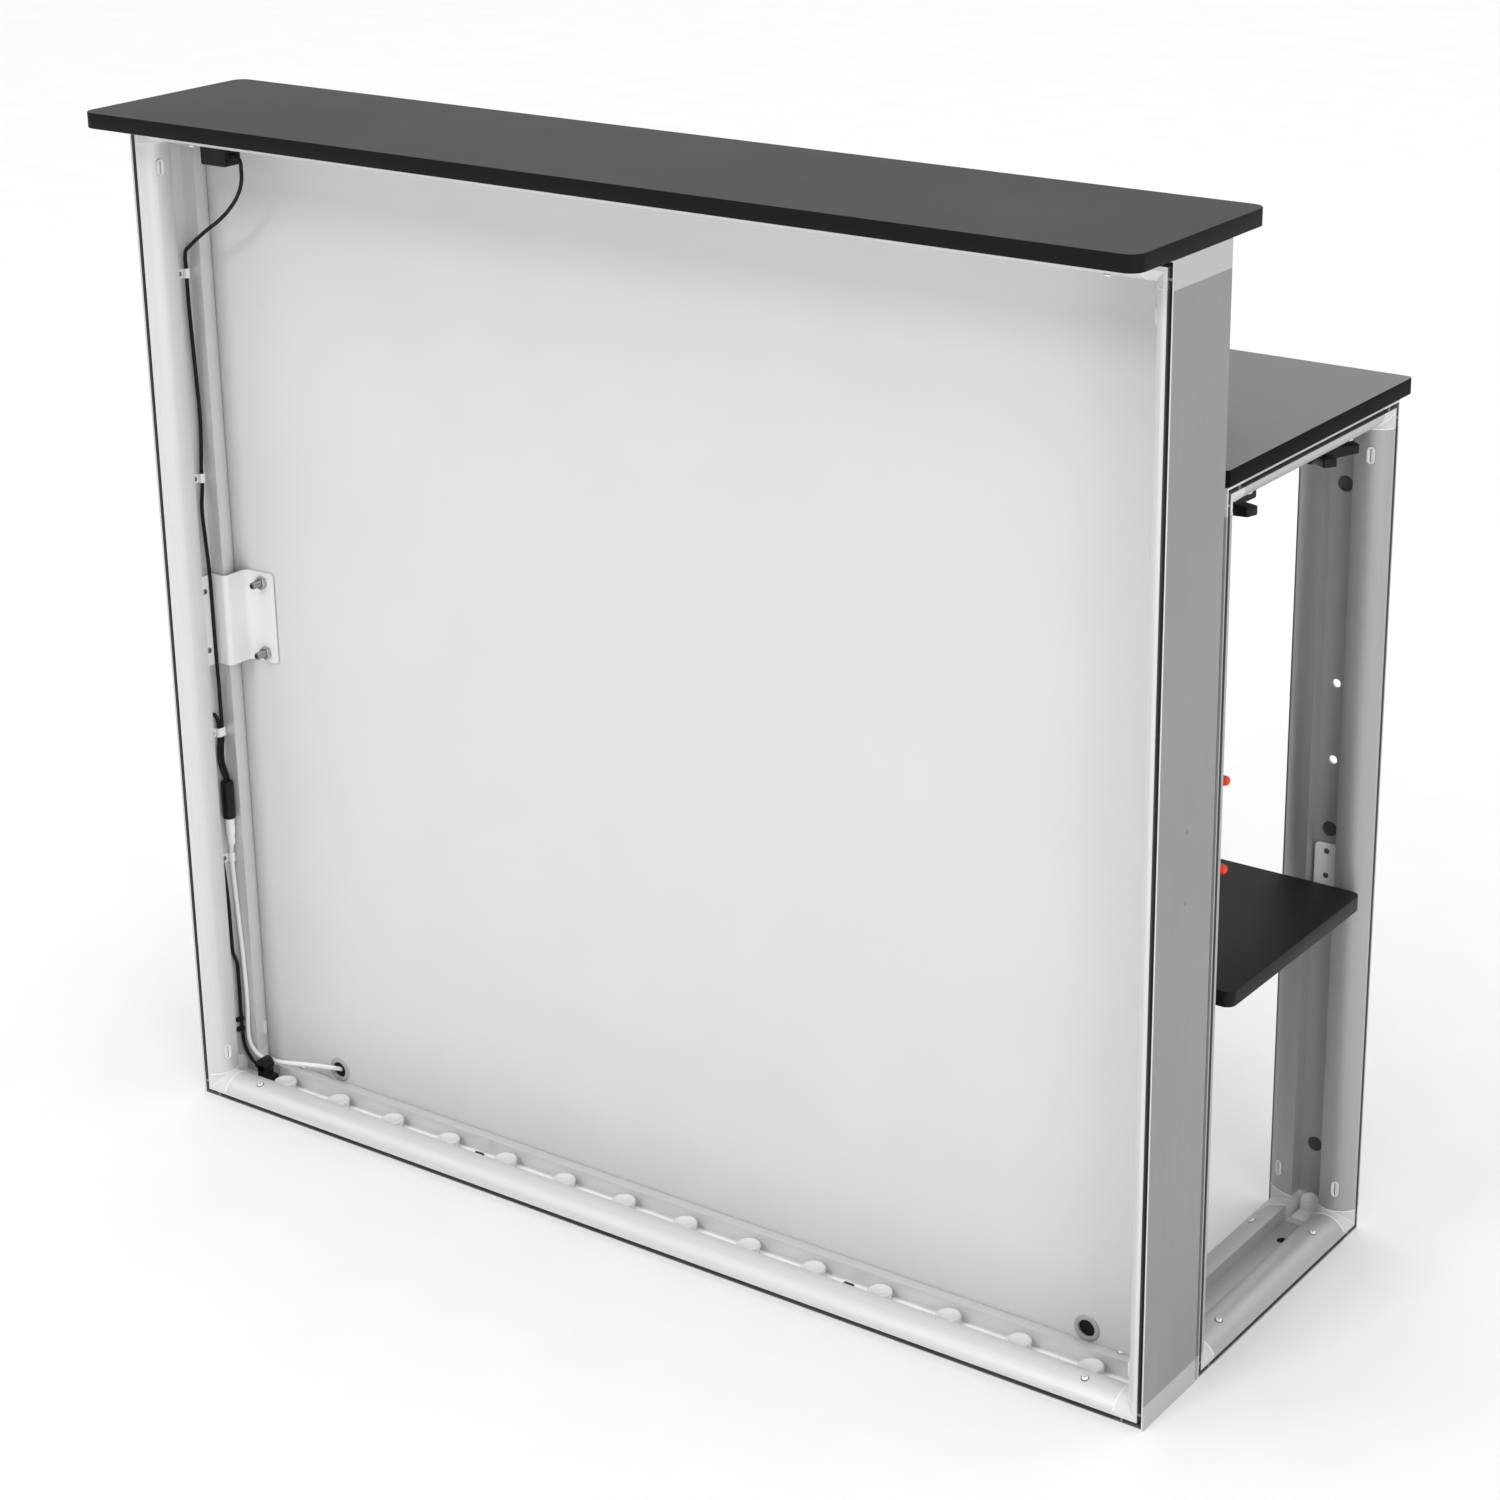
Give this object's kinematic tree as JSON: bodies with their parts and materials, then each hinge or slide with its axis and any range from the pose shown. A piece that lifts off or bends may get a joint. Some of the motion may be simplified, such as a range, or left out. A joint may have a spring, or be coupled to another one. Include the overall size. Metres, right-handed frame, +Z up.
{
  "type": "illuminated counter",
  "caption": "Exhibition counter with an edge-lit light frame on extruded profiles, rear worktop and shelf on two open side frames, star knobs that hold them",
  "frame": {"origin": "on the floor, under the middle of the counter's outline", "axes": "+X along the counter's width, to the right seen from the customer's side; +Y from the customer's side to the attendant's side; +Z up"},
  "size_m": [1.2, 0.5376, 1.116],
  "materials": {
    "profile": "satin silver anodised",
    "corner": "satin light grey moulding",
    "panel": "satin white sheet",
    "grommet": "nickel plated ring",
    "board_white": "white solder mask",
    "lens": "clear moulded lens",
    "white_steel": "white powder coat",
    "zinc_plate": "zinc plated sheet",
    "screw": "zinc plated steel",
    "rubber_black": "matte black",
    "knob_orange": "orange red moulding",
    "knob_black": "black moulding",
    "ledge_board": "dark grey laminate",
    "worktop_board": "grey laminate",
    "shelf_board": "dark grey laminate",
    "insert": "plain brass",
    "plug_grey": "satin light grey",
    "plug_dark": "satin dark grey",
    "lead_white": "white sheath",
    "lead_black": "black sheath",
    "clip_white": "white nylon",
    "housing_black": "black moulding"
  },
  "bodies": {
    "counter": {"front_rail_left": "profile", "front_rail_right": "profile", "front_rail_top": "profile", "front_rail_bottom": "profile", "front_corner_top_left": "corner", "front_corner_top_right": "corner", "front_corner_bottom_left": "corner", "front_corner_bottom_right": "corner", "back_panel": "panel", "grommet_left": "grommet", "grommet_right": "grommet", "led_boards_lower": "board_white", "led_lenses_lower": "lens", "led_boards_upper": "board_white", "led_lenses_upper": "lens", "board_screws": "screw", "ledge_screws": "screw", "link_bracket_left": "white_steel", "link_bracket_right": "white_steel", "link_bracket_screws": "screw", "link_studs": "screw", "link_nuts": "screw", "spacer_pads": "rubber_black", "ledge": "ledge_board", "worktop": "worktop_board", "worktop_inserts": "insert", "left_upright_front": "profile", "left_upright_rear": "profile", "left_beam_top": "profile", "left_beam_bottom": "profile", "left_frame_corners": "corner", "right_upright_front": "profile", "right_upright_rear": "profile", "right_beam_top": "profile", "right_beam_bottom": "profile", "right_frame_corners": "corner", "shelf": "shelf_board", "shelf_brackets_left": "zinc_plate", "shelf_brackets_right": "zinc_plate", "shelf_bracket_screws": "screw", "corner_angles": "zinc_plate", "flange_plugs": "plug_grey", "flange_screws": "screw", "hole_plugs": "plug_dark", "supply_lead": "lead_white", "supply_coupler": "lead_white", "lead_splitter": "housing_black", "upper_lead": "lead_black", "lower_lead": "lead_black", "lead_clips": "clip_white", "lead_ties": "housing_black", "lead_connectors": "housing_black"},
    "link_knob_left_upper_body": {"link_knob_left_upper": "knob_orange"},
    "link_knob_left_lower_body": {"link_knob_left_lower": "knob_orange"},
    "worktop_knob_left_front_body": {"worktop_knob_left_front": "knob_black"},
    "worktop_knob_left_rear_body": {"worktop_knob_left_rear": "knob_black"},
    "link_knob_right_upper_body": {"link_knob_right_upper": "knob_orange"},
    "link_knob_right_lower_body": {"link_knob_right_lower": "knob_orange"},
    "worktop_knob_right_front_body": {"worktop_knob_right_front": "knob_black"},
    "worktop_knob_right_rear_body": {"worktop_knob_right_rear": "knob_black"}
  },
  "joints": [
    {"name": "link_knob_left_upper_turn", "type": "hinge", "parent": "counter", "child": "link_knob_left_upper_body", "pos_m": [-0.55, -0.07825, 0.587], "axis": [0, 1, 0], "continuous": true},
    {"name": "link_knob_left_lower_turn", "type": "hinge", "parent": "counter", "child": "link_knob_left_lower_body", "pos_m": [-0.55, -0.07825, 0.507], "axis": [0, 1, 0], "continuous": true},
    {"name": "worktop_knob_left_front_turn", "type": "hinge", "parent": "counter", "child": "worktop_knob_left_front_body", "pos_m": [-0.55, -0.02425, 0.86], "axis": [0, 0, 1], "continuous": true},
    {"name": "worktop_knob_left_rear_turn", "type": "hinge", "parent": "counter", "child": "worktop_knob_left_rear_body", "pos_m": [-0.55, 0.16375, 0.86], "axis": [0, 0, 1], "continuous": true},
    {"name": "link_knob_right_upper_turn", "type": "hinge", "parent": "counter", "child": "link_knob_right_upper_body", "pos_m": [0.55, -0.07825, 0.587], "axis": [0, 1, 0], "continuous": true},
    {"name": "link_knob_right_lower_turn", "type": "hinge", "parent": "counter", "child": "link_knob_right_lower_body", "pos_m": [0.55, -0.07825, 0.507], "axis": [0, 1, 0], "continuous": true},
    {"name": "worktop_knob_right_front_turn", "type": "hinge", "parent": "counter", "child": "worktop_knob_right_front_body", "pos_m": [0.55, -0.02425, 0.86], "axis": [0, 0, 1], "continuous": true},
    {"name": "worktop_knob_right_rear_turn", "type": "hinge", "parent": "counter", "child": "worktop_knob_right_rear_body", "pos_m": [0.55, 0.16375, 0.86], "axis": [0, 0, 1], "continuous": true}
  ]
}
